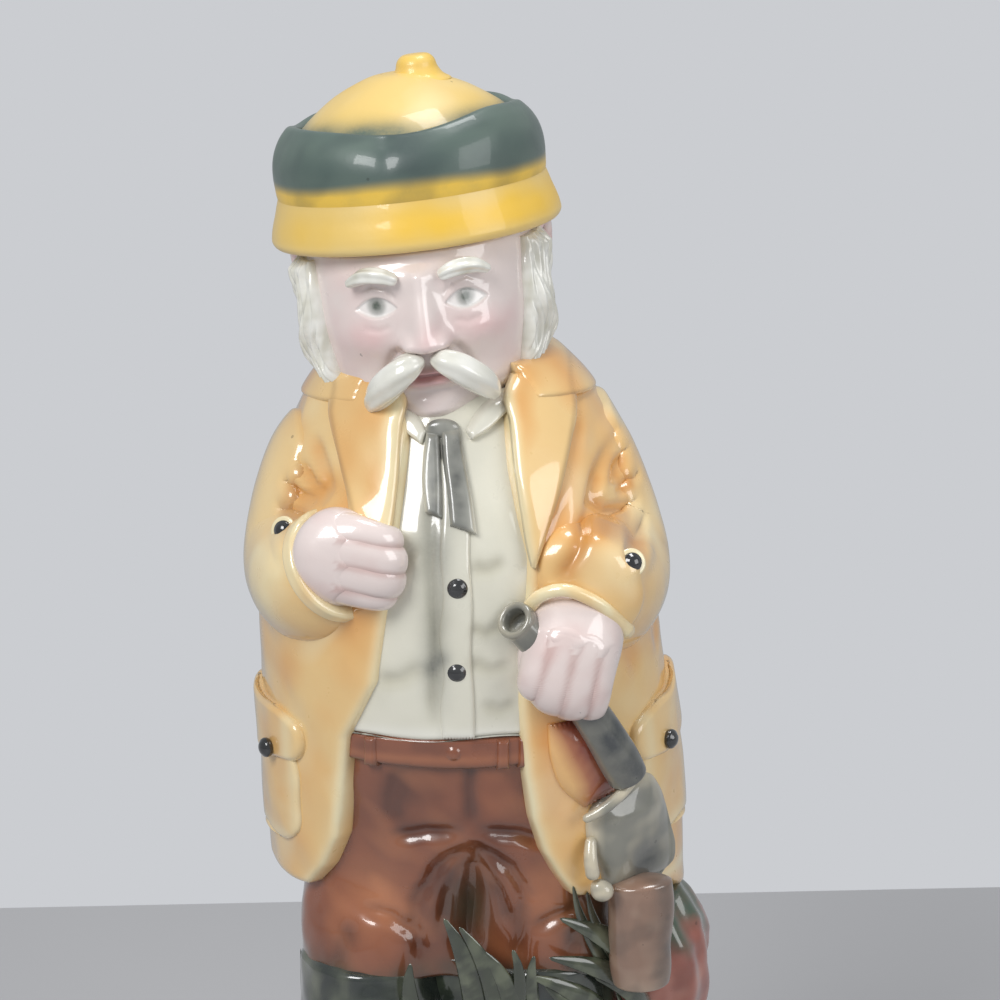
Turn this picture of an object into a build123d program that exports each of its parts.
"""Figural liquor decanter: a glazed ceramic hunter whose hat is the stopper.

Millimetres, +Z up. The origin is the centre of the foot, -Y is the figure's front and +X is the
viewer's right, which is the figure's own left. The bottle is hollow from its floor up into the
head. The head leans, and the neck bore, the cork and the hat share the leaning axis of the seat.
"""
from build123d import *
import math
import os

# Driving sizes of the figure
seat_height = 264
seat_offset = 11
seat_tilt_degrees = 5.5
body_half_width = 48
body_half_depth = 40
head_half_width = 24.5
ceramic_wall = 4.5
floor_thickness = 6

# Driving sizes of the stopper
cork_radius = 12
cork_in_neck = 22
cork_in_hat = 10
fit_clearance = 0.05
seat_gap = 0.3
hat_height = 38
brim_radius = 31.3
neck_wall = 3.2
mouth_rise = 8
cork_end_gap = 0.4
hat_lift = 1.2

# Thicknesses of what is laid on the body
waistcoat_thickness = 1.2
placket_thickness = 0.9
lapel_thickness = 1.8
collar_thickness = 2.4
tie_thickness = 2.4
band_thickness = 1.4
pocket_thickness = 0.9
flap_thickness = 1.8

# Limbs and small pieces
sleeve_radius = 12
cuff_thickness = 1.2
cuff_length = 11
hand_size = 12
boot_radius = 17
stump_radius = 16.5
button_radius = 2.2
button_height = 2.2
hat_button_aside = 4
barrel_radius = 4.2
muzzle_depth = 2.5
muzzle_wall = 1.4
forend_length = 26
receiver_depth = 7
stock_depth = 9
blade_width = 2.6
blade_depth = 4
blade_lift = 3
overrun = 5

# Levels where one cast ends and the next begins
boot_share = 0.410
waist_share = 0.617
neck_share = 0.883
boot_level = boot_share * seat_height
waist_level = waist_share * seat_height
neck_level = neck_share * seat_height

# Rows of a form: height, half width, half depth, lean and set-back, in shares of seat_height,
# body_half_width, body_half_depth, seat_offset and body_half_depth
column_shares = [
    (0.000, 1.020, 1.050, 0.00, 0.000),
    (0.030, 1.030, 1.070, 0.00, 0.000),
    (0.060, 0.930, 0.950, 0.00, 0.000),
    (0.110, 0.850, 0.830, 0.00, 0.050),
    (0.227, 0.830, 0.800, -0.05, 0.080),
    (0.341, 0.840, 0.820, -0.08, 0.060),
    (0.424, 0.865, 0.880, -0.05, 0.020),
    (0.530, 0.885, 0.925, 0.14, -0.050),
    (0.617, 0.865, 0.938, 0.27, -0.100),
    (0.701, 0.823, 0.925, 0.36, -0.112),
    (0.777, 0.760, 0.862, 0.41, -0.100),
    (0.833, 0.635, 0.725, 0.45, -0.050),
    (0.883, 0.450, 0.560, 0.57, -0.025),
]
jacket_shares = [
    (0.460, 0.970, 1.025, 0.08, -0.030),
    (0.523, 0.975, 1.037, 0.17, -0.050),
    (0.587, 0.955, 1.037, 0.22, -0.075),
    (0.644, 0.930, 1.025, 0.33, -0.100),
    (0.720, 0.896, 1.000, 0.41, -0.100),
    (0.788, 0.823, 0.950, 0.43, -0.088),
    (0.841, 0.698, 0.825, 0.45, -0.050),
    (0.879, 0.562, 0.675, 0.48, -0.025),
    (0.905, 0.437, 0.550, 0.55, -0.012),
]
# The same rows for the head, with both half sizes in shares of head_half_width
head_shares = [
    (0.883, 0.800, 0.820, 0.72, -0.050),
    (0.905, 0.950, 0.980, 0.77, -0.062),
    (0.935, 1.000, 1.080, 0.83, -0.075),
    (0.970, 1.000, 1.100, 0.91, -0.062),
    (1.005, 1.000, 1.060, 1.01, -0.050),
    (1.050, 0.950, 1.000, 1.11, -0.025),
]

# Outlines seen from the front, in shares of body_half_width across and seat_height up
opening_shares = [
    (-0.40, 0.930), (-0.29, 0.860), (-0.365, 0.750), (-0.45, 0.663), (-0.585, 0.613),
    (-0.63, 0.560), (-0.66, 0.522), (-0.72, 0.493), (-0.80, 0.472), (-0.90, 0.460),
    (-0.90, 0.380), (0.90, 0.380), (0.90, 0.460), (0.60, 0.464), (0.49, 0.467), (0.41, 0.475),
    (0.345, 0.491), (0.28, 0.515), (0.23, 0.547), (0.20, 0.582), (0.19, 0.620), (0.24, 0.755),
    (0.18, 0.860), (0.22, 0.930),
]
lapel_shares = [
    (0.155, 0.865), (0.20, 0.888), (0.34, 0.894), (0.475, 0.880), (0.46, 0.862), (0.425, 0.840),
    (0.335, 0.800), (0.238, 0.752), (0.17, 0.800),
]
placket_shares = [(-0.150, 0.617), (-0.02, 0.617), (-0.02, 0.845), (-0.150, 0.845)]
tie_shares = [
    (-0.20, 0.868), (-0.08, 0.868), (-0.085, 0.850), (-0.055, 0.797), (-0.105, 0.791),
    (-0.130, 0.806), (-0.175, 0.801), (-0.215, 0.808), (-0.180, 0.850),
]
waistband_shares = [(-0.75, 0.590), (0.45, 0.590), (0.45, 0.615), (-0.75, 0.615)]
receiver_shares = [
    (0.475, 0.546), (0.52, 0.558), (0.63, 0.560), (0.715, 0.568), (0.885, 0.483), (0.825, 0.474),
    (0.60, 0.482), (0.54, 0.502), (0.48, 0.524),
]
stock_shares = [
    (0.585, 0.482), (0.825, 0.474), (0.842, 0.435), (0.805, 0.386), (0.71, 0.384), (0.62, 0.400),
    (0.59, 0.435),
]
# Outlines seen from the side, in shares of body_half_depth along and seat_height up
pocket_shares = [
    (-0.68, 0.512), (-0.60, 0.504), (0.04, 0.504), (0.08, 0.512), (0.08, 0.572), (-0.68, 0.572),
]
pocket_flap_shares = [
    (-0.74, 0.585), (-0.33, 0.570), (0.14, 0.585), (0.14, 0.622), (-0.74, 0.622),
]

# Places on the body, in shares of body_half_width, body_half_depth and seat_height
left_arm_shares = [(0.35, 0.03, 0.849), (0.70, -0.24, 0.722), (0.34, -0.95, 0.712)]
right_arm_shares = [(-0.57, 0.03, 0.843), (-0.88, -0.22, 0.728), (-0.54, -0.96, 0.765)]
left_hand_share = (0.37, -1.11, 0.695)
right_hand_share = (-0.53, -1.00, 0.768)
barrel_shares = [(0.13, -1.12, 0.721), (0.635, -0.94, 0.568)]
forend_share = (0.500, -1.02, 0.590)
guard_share = (0.485, -0.96, 0.489)
guard_lump_share = (0, 0, 0, 1.3, 1.6, 1.5, 0)
loop_lump_share = (0, 0, 0, 0.5, 0.8, 1.4, 0)
boots_shares = [(-0.51, -0.50), (0.25, -0.50)]
stump_share = (0.71, -0.15)
legs_shares = [
    [(-0.46, 0.41, 0.56), (-0.46, 0.42, 0.58), (-0.34, 0.46, 0.60)],
    [(0.30, 0.36, 0.56), (0.30, 0.38, 0.58), (0.20, 0.42, 0.60)],
]
leg_level_shares = (0.400, 0.500, 0.585)
leg_setback_share = -0.45
waistcoat_button_shares = [(-0.08, 0.741), (-0.09, 0.674)]
waistband_button_share = (-0.11, 0.603)
belt_loop_shares = [(0.11, 0.600), (-0.33, 0.600)]
pocket_button_share = (-0.53, 0.585)
collar_share = 0.855
collar_front_share = 0.02

# Lumps: place, half sizes and lean in degrees, in shares of the size of what carries them
nose_and_chin_shares = [
    (0.0, -1.10, 0.02, 0.15, 0.20, 0.22, 0), (0.0, -0.86, -0.66, 0.32, 0.26, 0.17, 0),
]
ear_share = (1.04, 0.22, 0.10, 0.14, 0.24, 0.34, 6)
whiskers_share = (0.92, -0.42, -0.22, 0.22, 0.38, 0.28, 0)
moustache_share = (0.31, -1.04, -0.44, 0.32, 0.20, 0.17, 33)
eyebrow_share = (0.40, -1.02, 0.36, 0.24, 0.12, 0.08, -8)
hair_share = (0.0, 0.72, 0.02, 0.98, 0.42, 0.44, 0)
left_hand_lump_shares = [
    (0.0, 0.10, 0.35, 0.88, 0.62, 0.78, 0),
    (-0.62, -0.05, -0.30, 0.27, 0.42, 0.76, 8), (-0.16, -0.14, -0.42, 0.27, 0.44, 0.82, 2),
    (0.30, -0.12, -0.42, 0.27, 0.44, 0.80, -6), (0.72, 0.0, -0.22, 0.25, 0.40, 0.70, -12),
]
right_hand_lump_shares = [
    (-0.25, 0.05, 0.0, 0.85, 0.56, 0.82, 0),
    (0.45, 0.0, 0.54, 0.52, 0.38, 0.24, 12), (0.52, -0.05, 0.14, 0.54, 0.40, 0.25, 4),
    (0.50, -0.05, -0.27, 0.52, 0.38, 0.24, -4), (0.38, 0.0, -0.64, 0.46, 0.36, 0.22, -10),
]
shirt_collar_shares = [
    (0.24, -0.86, -0.90, 0.20, 0.24, 0.14, 20), (-0.12, -0.90, -0.98, 0.14, 0.22, 0.13, -15),
]

# Grass: foot across, foot level, tip across and tip level of each blade
front_grass_shares = [
    (-0.22, 0.330, -0.17, 0.458), (-0.06, 0.320, -0.15, 0.440), (0.08, 0.325, 0.02, 0.415),
    (0.60, 0.345, 0.33, 0.452), (0.50, 0.320, 0.30, 0.418), (0.72, 0.350, 0.47, 0.470),
]
left_grass_shares = [
    (-0.70, 0.250, -0.86, 0.402), (-0.60, 0.240, -0.66, 0.365), (-0.82, 0.240, -0.95, 0.350),
]
back_grass_shares = [
    (-0.50, 0.170, -0.60, 0.330), (-0.28, 0.160, -0.30, 0.360), (-0.05, 0.170, 0.00, 0.330),
    (0.18, 0.160, 0.26, 0.350), (0.40, 0.170, 0.50, 0.320),
]

os.makedirs("parts", exist_ok=True)

# The seat: the plane where the hat rests, with its own Z along the leaning neck
seat = Pos(-seat_offset, 0, seat_height) * Rot(0, -seat_tilt_degrees, 0)
head_centre_shares = (0.86, -0.06, 0.948)
head_middle = Pos(
    -head_centre_shares[0] * seat_offset,
    head_centre_shares[1] * body_half_depth,
    head_centre_shares[2] * seat_height,
) * Rot(0, -seat_tilt_degrees, 0)
reach = 2 * (body_half_width + body_half_depth)
crumb_share = 0.05
half_turn_degrees = 180


def form_rows(shares, size_across, size_along):
    """Real sizes of a form's rows: height, half width, half depth, centre across and along."""
    return [
        (z * seat_height, w * size_across, d * size_along, -lean * seat_offset, back * body_half_depth)
        for z, w, d, lean, back in shares
    ]


def form(rows, grow=0):
    """A solid through oval sections, made larger or smaller all round by grow."""
    sections = [Pos(x, y, z) * Ellipse(half_x + grow, half_y + grow) for z, half_x, half_y, x, y in rows]
    return loft(sections)


def place(shares):
    """A point on the figure from its shares of width, depth and height."""
    return Pos(shares[0] * body_half_width, shares[1] * body_half_depth, shares[2] * seat_height)


def point(shares):
    """The same point as a vector."""
    return place(shares).position


def row_at(rows, z):
    """A form's half sizes and centre at a level, between the rows above and below it."""
    below = max((row for row in rows if row[0] <= z), key=lambda row: row[0], default=rows[0])
    above = min((row for row in rows if row[0] > z), key=lambda row: row[0], default=rows[-1])
    step = (z - below[0]) / (above[0] - below[0]) if above[0] > below[0] else 0
    return [low + step * (high - low) for low, high in zip(below[1:], above[1:])]


def front_of(rows, x, z):
    """Depth of a form's front surface at a place seen from the front."""
    half_x, half_y, centre_x, centre_y = row_at(rows, z)
    aside = min(abs(x - centre_x) / half_x, 1)
    return centre_y - half_y * math.sqrt(1 - aside * aside)


def slab(low, high):
    """Everything between two levels."""
    return Pos(0, 0, (low + high) / 2) * Box(reach, reach, high - low)


def front_prism(shares, mirror=False):
    """What lies in front of the figure's middle, within an outline seen from the front."""
    middle = placket_shares[0][0] + placket_shares[1][0]
    points = [((middle - x if mirror else x) * body_half_width, z * seat_height) for x, z in shares]
    return extrude(Plane.XZ * make_face(Polyline(*points, close=True)), reach)


def side_prism(shares, side):
    """What lies to one side of the figure's middle, within an outline seen from that side."""
    points = [(y * body_half_depth, z * seat_height) for y, z in shares]
    return extrude(Plane.YZ * make_face(Polyline(*points, close=True)), side * reach)


def lump(row, size, at, side=1):
    """One rounded lump, at its share of size away from the place it is carried on, its seam outward."""
    x, y, z, half_x, half_y, half_z, lean = row
    ball = scale(Sphere(1), by=(half_x * size, half_y * size, half_z * size))
    seam_turn = 0 if side > 0 else half_turn_degrees
    leaning = Rot(0, side * lean, 0) * Rot(0, 0, seam_turn) * ball
    return at * Pos(side * x * size, y * size, z * size) * leaning


def lumps(rows, size, at, side=1):
    """Rounded lumps fused into one."""
    balls = [lump(row, size, at, side) for row in rows]
    return balls[0].fuse(*balls[1:]) if len(balls) > 1 else balls[0]


def rest_of(raw, *others):
    """What is left of a shape outside other shapes, without crumbs."""
    for other in others:
        raw = raw - other
    pieces = raw.solids()
    largest = max(piece.volume for piece in pieces)
    return group([piece for piece in pieces if piece.volume > crumb_share * largest])


def group(shapes):
    """Separate solids that one node holds."""
    solids = [solid for shape in shapes for solid in shape.solids()]
    return Compound(solids) if len(solids) > 1 else solids[0]


def write(shape, name):
    """Write one sub-part."""
    export_step(shape, f"parts/{name}.step")


# Whole forms, which the casts are cut from and the relief is laid on
column_rows = form_rows(column_shares, body_half_width, body_half_depth)
jacket_rows = form_rows(jacket_shares, body_half_width, body_half_depth)
head_rows = form_rows(head_shares, head_half_width, head_half_width)
column = form(column_rows)
jacket_form = form(jacket_rows)
cavity = form(column_rows, -ceramic_wall) & slab(floor_thickness, neck_level)
waistcoat_form = form(column_rows, waistcoat_thickness) & slab(waist_level, neck_level)
above_seat = seat * Pos(0, 0, hat_height / 2 + overrun) * Cylinder(2 * brim_radius, hat_height + 2 * overrun)
neck_outer_radius = cork_radius + fit_clearance + neck_wall


def leg(rows):
    """One trouser leg, from the boot to the fork."""
    setback = leg_setback_share * body_half_depth
    sections = []
    for z, (x, half_x, half_y) in zip(leg_level_shares, rows):
        oval = Ellipse(half_x * body_half_width, half_y * body_half_depth)
        sections.append(Pos(x * body_half_width, setback, z * seat_height) * oval)
    return loft(sections)


trousers_form = (column & slab(boot_level, waist_level)) + leg(legs_shares[0]) + leg(legs_shares[1])
trousers_form = trousers_form & slab(boot_level, waist_level)


def make_head():
    """The hollow head with its flat seat for the hat, and the mouth tube round the cork."""
    above_roof = seat * Pos(0, 0, reach / 2 - ceramic_wall) * Box(reach, reach, reach)
    hollow = form(head_rows, -ceramic_wall) - above_roof
    mouth_length = mouth_rise + ceramic_wall + overrun
    mouth_middle = mouth_rise - mouth_length / 2
    mouth = seat * Pos(0, 0, mouth_middle) * Cylinder(neck_outer_radius, mouth_length)
    bore = seat * Pos(0, 0, mouth_middle) * Cylinder(cork_radius + fit_clearance, mouth_length)
    return skull_form - hollow - mouth, mouth - bore


def lathe(points):
    """A solid turned about the seat's axis from radius and height points."""
    return seat * revolve(Plane.XZ * make_face(Polyline(*points, close=True)), Axis.Z)


def make_hat():
    """The hat: hollow, with a socket for the cork in its crown."""
    outer_shares = [
        (0.94, 0.00), (0.98, 0.05), (1.00, 0.12), (0.98, 0.19), (0.905, 0.31), (0.88, 0.45),
        (0.76, 0.60), (0.62, 0.72), (0.42, 0.82), (0.18, 0.90), (0.0, 0.91),
    ]
    outer = [(r * brim_radius, seat_gap + z * (hat_height - seat_gap)) for r, z in outer_shares]
    shell = lathe([(0, seat_gap)] + outer)
    inner_shares = [(0.72, 0.0), (0.72, 0.36), (0.62, 0.52), (0.46, 0.64), (0.0, 0.66)]
    inner = [(r * brim_radius, seat_gap + z * (hat_height - seat_gap)) for r, z in inner_shares]
    hollow = lathe([(0, seat_gap)] + inner)
    mouth_top = mouth_rise + hat_lift
    socket_top = mouth_top + cork_in_hat
    boss_radius = neck_outer_radius
    boss_height = hat_height * outer_shares[-4][1] - mouth_top
    boss = seat * Pos(0, 0, mouth_top + boss_height / 2) * Cylinder(boss_radius, boss_height)
    bore_radius = cork_radius + fit_clearance
    socket = seat * Pos(0, 0, (mouth_top + socket_top) / 2) * Cylinder(bore_radius, cork_in_hat)
    return (shell - hollow) + boss - socket


def make_hat_flap():
    """The turned-up band that lies round the hat's crown."""
    band_shares = [
        (0.86, 0.30), (0.905, 0.31), (0.925, 0.37), (0.92, 0.46), (0.87, 0.56), (0.79, 0.64),
        (0.74, 0.65), (0.68, 0.60), (0.76, 0.50),
    ]
    return lathe([(r * brim_radius, seat_gap + z * (hat_height - seat_gap)) for r, z in band_shares])


def make_hat_button():
    """The button on top of the crown, a little aside of the seat's axis."""
    button_shares = [(0.115, 0.87), (0.125, 0.93), (0.105, 0.975), (0.06, 1.0), (0.0, 1.0), (0.0, 0.87)]
    nub = lathe([(r * brim_radius, seat_gap + z * (hat_height - seat_gap)) for r, z in button_shares])
    return Pos(hat_button_aside, 0, 0) * nub


def make_cork():
    """The cork, from inside the neck bore up to the hat's socket."""
    top = mouth_rise + hat_lift + cork_in_hat - cork_end_gap
    bottom = mouth_rise - cork_in_neck
    plug = seat * Pos(0, 0, (top + bottom) / 2) * Cylinder(cork_radius, top - bottom)
    return plug


def arm(shares):
    """A sleeve's tube and the cuff round its end."""
    shoulder, elbow, wrist = [point(share) for share in shares]
    path = FilletPolyline(shoulder, elbow, wrist, radius=sleeve_radius + cuff_thickness)
    tube = sweep(Plane(path @ 0, z_dir=path % 0) * Circle(sleeve_radius), path=path)
    forearm = (wrist - elbow).normalized()
    cuff_middle = wrist - forearm * (cuff_length / 2)
    cuff = Plane(cuff_middle, z_dir=forearm) * Cylinder(sleeve_radius + cuff_thickness, cuff_length)
    return tube + Pos(shoulder) * Sphere(sleeve_radius), cuff


def button(centre):
    """A domed button that faces the front."""
    return Pos(*centre) * scale(Sphere(1), by=(button_radius, button_height, button_radius))


def front_button(share, rows, proud):
    """A domed button on the front of a form that stands proud by a thickness."""
    x, z = share[0] * body_half_width, share[1] * seat_height
    return button((x, front_of(rows, x, z) - proud, z))


def side_button(share, side):
    """A domed button on one side of the jacket, on the pocket flap."""
    y, z = share[0] * body_half_depth, share[1] * seat_height
    half_x, half_y, centre_x, centre_y = row_at(jacket_rows, z)
    aside = (y - centre_y) / (half_y + flap_thickness)
    x = centre_x + side * (half_x + flap_thickness) * math.sqrt(1 - aside * aside)
    return Pos(x, y, z) * scale(Sphere(1), by=(button_height, button_radius, button_radius))


def cuff_button(shares, side):
    """A domed button on the outside of a cuff."""
    elbow, wrist = point(shares[1]), point(shares[2])
    forearm = (wrist - elbow).normalized()
    outward = (forearm.cross(Vector(0, 0, 1)) * -side).normalized()
    turn_share = 0.6
    normal = (outward + Vector(0, 0, turn_share)).normalized()
    centre = wrist - forearm * (cuff_length * 3 / 4) + normal * (sleeve_radius + cuff_thickness)
    return button((centre.X, centre.Y, centre.Z))


def make_boot(share):
    """One boot, with its shaft against the body and its foot on the ground."""
    x, y = share[0] * body_half_width, share[1] * body_half_depth
    shaft_shares = [(0.050, 0.86, 0.95), (0.170, 0.90, 1.02), (0.300, 1.02, 1.12), (0.410, 1.08, 1.15)]
    foot_share = (0.0, -0.28, 1.25, 0.90, 1.02, 0.72, 0)
    ovals = [
        Pos(x, y, z * seat_height) * Ellipse(a * boot_radius, b * boot_radius) for z, a, b in shaft_shares
    ]
    return loft(ovals) + lump(foot_share, boot_radius, Pos(x, y, 0))


def blade(share, behind=False):
    """One grass blade, thick at its foot, that leans to its tip on the column's surface."""
    x_foot, z_foot, x_tip, z_tip = share
    sections = []
    for step, width_share in ((0, 1.0), (0.5, 0.85), (1, 0.25)):
        x = (x_foot + step * (x_tip - x_foot)) * body_half_width
        z = (z_foot + step * (z_tip - z_foot)) * seat_height
        y = front_of(column_rows, x, z) - blade_lift
        oval = Ellipse(width_share * blade_width, width_share * blade_depth)
        sections.append(Pos(x, -y if behind else y, z) * oval)
    return loft(sections)


def tuft(shares, behind=False):
    """Grass blades fused at their feet."""
    blades = [blade(share, behind) for share in shares]
    return blades[0].fuse(*blades[1:])


def belt_loop(share):
    """One loop of the trousers that stands on the waistband."""
    x, z = share[0] * body_half_width, share[1] * seat_height
    centre = (x, front_of(column_rows, x, z) - band_thickness, z)
    return lump(loop_lump_share, button_radius, Pos(*centre))


def make_barrels():
    """The pair of barrels as one tapering bar, with a shallow recess at the muzzle."""
    muzzle, breech = [point(share) for share in barrel_shares]
    along = Plane(muzzle, z_dir=(breech - muzzle).normalized())
    length = (breech - muzzle).length
    bar = along * Pos(0, 0, length / 2) * Cylinder(barrel_radius, length)
    recess = along * Pos(0, 0, muzzle_depth / 2) * Cylinder(barrel_radius - muzzle_wall, muzzle_depth)
    return bar - recess


def make_forend():
    """The wooden fore-end under the barrels."""
    muzzle, breech = [point(share) for share in barrel_shares]
    middle = Plane(point(forend_share), z_dir=(breech - muzzle).normalized())
    return middle * scale(Sphere(1), by=(barrel_radius, barrel_radius, forend_length / 2))


def make_stump():
    """The stump that stands beside the figure."""
    x, y = stump_share[0] * body_half_width, stump_share[1] * body_half_depth
    stump_shares = [(0.000, 1.00), (0.080, 0.97), (0.300, 0.99), (0.415, 0.97), (0.438, 0.88)]
    return loft([Pos(x, y, z * seat_height) * Circle(size * stump_radius) for z, size in stump_shares])


def both(row, size, at, other):
    """The same lump on each side of a middle, kept clear of what carries it."""
    return group([rest_of(lump(row, size, at, side), other) for side in (1, -1)])


# Casts of the body
skull_form = (form(head_rows) + lumps(nose_and_chin_shares, head_half_width, head_middle)) - above_seat
skull_form = skull_form & slab(neck_level, seat_height + reach)
body = column + trousers_form + waistcoat_form + skull_form
jacket_block = jacket_form - front_prism(opening_shares)
jacket = rest_of(jacket_block, body)
dressed = body + jacket_block
write((column & slab(0, boot_level)) - cavity, "ground_base")
write(trousers_form - cavity, "trousers")
write(waistcoat_form - cavity, "waistcoat")
head, neck_ring = make_head()
write(head, "head")
write(neck_ring, "neck_ring")
write(jacket, "jacket")

# The stopper
hat = make_hat()
hat_flap = make_hat_flap() - hat
write(hat, "hat")
write(hat_flap, "hat_flap")
write(make_hat_button() - hat, "hat_button")
write(make_cork(), "cork")

# Clothes laid on the casts
lapel_form = form(jacket_rows, lapel_thickness)
lapel_left, lapel_right = [
    rest_of(lapel_form & front_prism(lapel_shares, mirror), dressed) for mirror in (False, True)
]
collar_middle = (0, reach / 2 + collar_front_share * body_half_depth, reach / 2 + collar_share * seat_height)
collar_space = Pos(*collar_middle) * Box(reach, reach, reach)
jacket_collar = rest_of(form(jacket_rows, collar_thickness) & collar_space, dressed, lapel_left, lapel_right)
placket_form = form(column_rows, waistcoat_thickness + placket_thickness)
placket = rest_of(placket_form & front_prism(placket_shares), dressed)
tie_form = form(column_rows, waistcoat_thickness + tie_thickness)
necktie = rest_of(tie_form & front_prism(tie_shares), dressed, placket)
collar_points = [
    rest_of(lump(row, head_half_width, head_middle), dressed, necktie, placket, lapel_left, lapel_right)
    for row in shirt_collar_shares
]
waistband = rest_of(form(column_rows, band_thickness) & front_prism(waistband_shares), dressed)
loops = [rest_of(belt_loop(share), dressed, waistband) for share in belt_loop_shares]
waistcoat_buttons = [
    rest_of(front_button(share, column_rows, waistcoat_thickness + placket_thickness), dressed, placket)
    for share in waistcoat_button_shares
]
waistband_button = rest_of(
    front_button(waistband_button_share, column_rows, band_thickness), dressed, waistband
)
write(lapel_left, "lapel_left")
write(lapel_right, "lapel_right")
write(jacket_collar, "jacket_collar")
write(placket, "waistcoat_placket")
write(necktie, "necktie")
write(group(collar_points), "shirt_collar")
write(waistband, "waistband")
write(group(loops), "belt_loops")
write(group(waistcoat_buttons), "waistcoat_buttons")
write(waistband_button, "waistband_button")

# Pockets on the jacket's sides
pocket_form = form(jacket_rows, pocket_thickness)
flap_form = form(jacket_rows, flap_thickness)
pockets, pocket_buttons = {}, []
for name, side in (("left", 1), ("right", -1)):
    pocket = rest_of(pocket_form & side_prism(pocket_shares, side), dressed)
    flap = rest_of(flap_form & side_prism(pocket_flap_shares, side), dressed, pocket)
    pocket_buttons.append(rest_of(side_button(pocket_button_share, side), flap_form))
    pockets[name] = [pocket, flap]
    write(pocket, f"pocket_{name}")
    write(flap, f"pocket_flap_{name}")
write(group(pocket_buttons), "pocket_buttons")

# The gun, broken open, with its barrels under the left hand
gun_barrels = rest_of(make_barrels(), dressed)
gun_forend = rest_of(make_forend(), dressed, gun_barrels)
receiver_form = form(jacket_rows, receiver_depth)
gun_receiver = rest_of(
    receiver_form & front_prism(receiver_shares), dressed, gun_barrels, gun_forend, *pockets["left"]
)
trigger_guard = rest_of(lump(guard_lump_share, button_radius, place(guard_share)), dressed, gun_receiver)
stump = rest_of(make_stump(), dressed)
stock_form = form(column_rows, stock_depth)
gun_stock = rest_of(stock_form & front_prism(stock_shares), dressed, stump, gun_receiver, trigger_guard)
write(gun_barrels, "gun_barrels")
write(gun_forend, "gun_forend")
write(gun_receiver, "gun_receiver")
write(trigger_guard, "trigger_guard")
write(gun_stock, "gun_stock")
write(stump, "tree_stump")

# Arms and hands
cuff_buttons = []
for name, shares, side, near in (
    ("left", left_arm_shares, 1, lapel_left), ("right", right_arm_shares, -1, lapel_right),
):
    tube, cuff = arm(shares)
    sleeve = rest_of(tube, cuff, dressed, near, jacket_collar, gun_barrels)
    cuff = rest_of(cuff, dressed, near, gun_barrels)
    hand_share = left_hand_share if side > 0 else right_hand_share
    hand_shares = left_hand_lump_shares if side > 0 else right_hand_lump_shares
    fist = lumps(hand_shares, hand_size, place(hand_share))
    hand = rest_of(fist, cuff, sleeve, dressed, near, gun_barrels, placket)
    cuff_buttons.append(rest_of(cuff_button(shares, side), cuff, sleeve))
    write(sleeve, f"sleeve_{name}")
    write(cuff, f"cuff_{name}")
    write(hand, f"hand_{name}")
write(group(cuff_buttons), "cuff_buttons")

# Hair and ears
write(both(whiskers_share, head_half_width, head_middle, skull_form), "side_whiskers")
write(both(moustache_share, head_half_width, head_middle, skull_form), "moustache")
write(both(eyebrow_share, head_half_width, head_middle, skull_form), "eyebrows")
write(both(ear_share, head_half_width, head_middle, skull_form), "ears")
write(rest_of(lump(hair_share, head_half_width, head_middle), skull_form), "hair_back")

# Boots and grass
boots = [rest_of(make_boot(share), dressed, stump, gun_stock) for share in boots_shares]
write(boots[0], "boot_right")
write(boots[1], "boot_left")
footing = [dressed, stump, gun_stock, *boots]
write(rest_of(tuft(front_grass_shares), *footing), "grass_front")
write(rest_of(tuft(left_grass_shares), *footing), "grass_side")
write(rest_of(tuft(back_grass_shares, behind=True), *footing), "grass_back")
